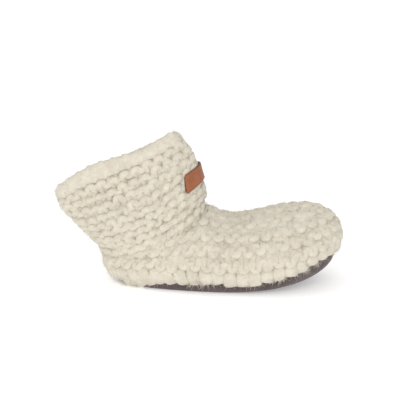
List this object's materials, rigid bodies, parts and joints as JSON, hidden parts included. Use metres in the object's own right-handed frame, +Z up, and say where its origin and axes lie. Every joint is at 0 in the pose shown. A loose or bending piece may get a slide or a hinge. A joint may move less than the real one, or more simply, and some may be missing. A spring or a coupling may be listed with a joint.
{
  "type": "sock shoe",
  "caption": "Child's knitted sock shoe: hollow garter stitch upper with a slack ankle shaft that leans back, cupped suede sole, felt insole and a bare leather label on the shaft's front.",
  "frame": {"origin": "on the surface that the shoe stands on, under the middle of its bounding box", "axes": "+X towards the toe, +Y towards the shoe's left side, +Z up out of the surface it stands on"},
  "size_m": [0.1618, 0.0604, 0.086],
  "materials": {
    "knit": "thick cream wool in garter stitch, soft and fuzzy",
    "suede": "dark grey-brown suede, matt napped surface",
    "felt": "pale pressed wool felt",
    "label_leather": "tan smooth leather with a cut edge"
  },
  "bodies": {
    "root": {"upper": "knit", "sole": "suede", "insole": "felt", "label": "label_leather"}
  },
  "joints": []
}
